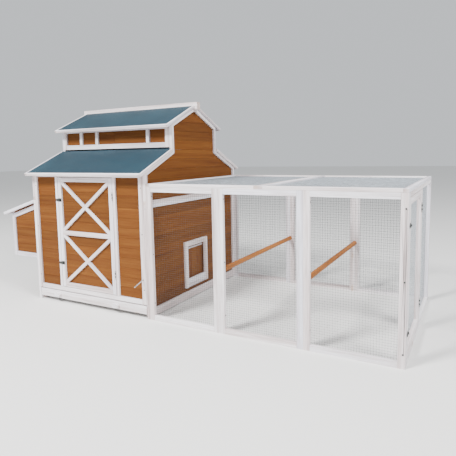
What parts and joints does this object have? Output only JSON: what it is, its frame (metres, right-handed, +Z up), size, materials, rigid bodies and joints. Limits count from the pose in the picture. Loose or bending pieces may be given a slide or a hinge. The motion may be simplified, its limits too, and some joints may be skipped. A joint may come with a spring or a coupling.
{
  "type": "chicken coop",
  "caption": "Barn-style timber hen house with raised roof, crossed-brace door, lidded nest box, pull-out tray and a long wire run with a door.",
  "frame": {"origin": "centre of the whole coop's box, on the ground", "axes": "+X along the coop's length from the nest box to the run's end, -Y towards the front with the barn door, +Z up"},
  "size_m": [2.7568, 1.2122, 1.3048],
  "materials": {
    "stained_cladding": "clear orange-brown stain on softwood boards",
    "perch_timber": "stained softwood pole",
    "white_timber": "thin white wash on softwood, grain faintly showing",
    "roofing_felt": "teal mineral-surfaced bitumen felt",
    "galvanised_steel": "zinc plated",
    "wire_mesh": "galvanised welded wire"
  },
  "bodies": {
    "house": {"side_boards_right": "stained_cladding", "side_boards_left": "stained_cladding", "gable_boards_right": "stained_cladding", "gable_boards_left": "stained_cladding", "front_boards": "stained_cladding", "rear_boards": "stained_cladding", "clerestory_boards": "stained_cladding", "nest_boards": "stained_cladding", "nest_floor": "stained_cladding", "house_perch": "perch_timber", "run_perches": "perch_timber", "side_frame_right": "white_timber", "side_frame_left": "white_timber", "gable_trim_right": "white_timber", "gable_trim_left": "white_timber", "front_frame": "white_timber", "rear_frame": "white_timber", "clerestory_frames": "white_timber", "roof_lower_front": "white_timber", "roof_lower_rear": "white_timber", "roof_upper_front": "white_timber", "roof_upper_rear": "white_timber", "ridge_beam": "white_timber", "tray_runners": "white_timber", "pop_frame": "white_timber", "pop_tracks": "white_timber", "nest_frame": "white_timber", "run_front_frame_1": "white_timber", "run_front_frame_2": "white_timber", "run_front_frame_3": "white_timber", "run_rear_frame_1": "white_timber", "run_rear_frame_2": "white_timber", "run_rear_frame_3": "white_timber", "run_end_frame": "white_timber", "run_top_frames": "white_timber", "roof_felts": "roofing_felt", "hinge_leaves": "galvanised_steel", "hinge_pins": "galvanised_steel", "corner_screws": "galvanised_steel", "run_mesh_front": "wire_mesh", "run_mesh_rear": "wire_mesh", "run_mesh_top": "wire_mesh", "run_mesh_end": "wire_mesh"},
    "barn_door": {"barn_door_frame": "white_timber", "barn_door_boards": "stained_cladding", "barn_door_hardware": "galvanised_steel"},
    "barn_latch_upper": {"barn_latch_upper": "galvanised_steel"},
    "barn_latch_lower": {"barn_latch_lower": "galvanised_steel"},
    "run_door": {"run_door_frame": "white_timber", "run_door_mesh": "wire_mesh", "run_door_hardware": "galvanised_steel"},
    "run_latch_upper": {"run_latch_upper": "galvanised_steel"},
    "run_latch_lower": {"run_latch_lower": "galvanised_steel"},
    "nest_lid": {"nest_lid": "white_timber", "nest_lid_cleats": "stained_cladding", "nest_lid_felt": "roofing_felt", "nest_lid_leaves": "galvanised_steel"},
    "tray": {"tray_front": "white_timber", "tray_pan": "galvanised_steel"},
    "pop_door": {"pop_door_panel": "stained_cladding", "pull_rod": "galvanised_steel"}
  },
  "joints": [
    {"name": "barn_door_hinge", "type": "hinge", "parent": "house", "child": "barn_door", "pos_m": [-0.29218, -0.52922, 0.472], "axis": [0, 0, 1], "range_deg": [0, 110]},
    {"name": "barn_latch_upper_turn", "type": "hinge", "parent": "barn_door", "child": "barn_latch_upper", "pos_m": [-0.74068, -0.52922, 0.685], "axis": [0, -1, 0], "range_deg": [0, 90]},
    {"name": "barn_latch_lower_turn", "type": "hinge", "parent": "barn_door", "child": "barn_latch_lower", "pos_m": [-0.74068, -0.52922, 0.271], "axis": [0, -1, 0], "range_deg": [0, 90]},
    {"name": "run_door_hinge", "type": "hinge", "parent": "house", "child": "run_door", "pos_m": [1.37452, -0.00772, 0.4], "axis": [0, 0, 1], "range_deg": [0, 110]},
    {"name": "run_latch_upper_turn", "type": "hinge", "parent": "run_door", "child": "run_latch_upper", "pos_m": [1.37452, -0.46022, 0.634], "axis": [1, 0, 0], "range_deg": [0, 90]},
    {"name": "run_latch_lower_turn", "type": "hinge", "parent": "run_door", "child": "run_latch_lower", "pos_m": [1.37452, -0.46022, 0.143], "axis": [1, 0, 0], "range_deg": [0, 90]},
    {"name": "nest_lid_hinge", "type": "hinge", "parent": "house", "child": "nest_lid", "pos_m": [-1.00468, 0.01378, 0.6896], "axis": [0, 1, 0], "range_deg": [0, 90]},
    {"name": "tray_slide", "type": "slide", "parent": "house", "child": "tray", "axis": [0, -1, 0], "range_m": [0, 0.918]},
    {"name": "pop_door_slide", "type": "slide", "parent": "house", "child": "pop_door", "axis": [0, -1, 0], "range_m": [0, 0.224]}
  ]
}
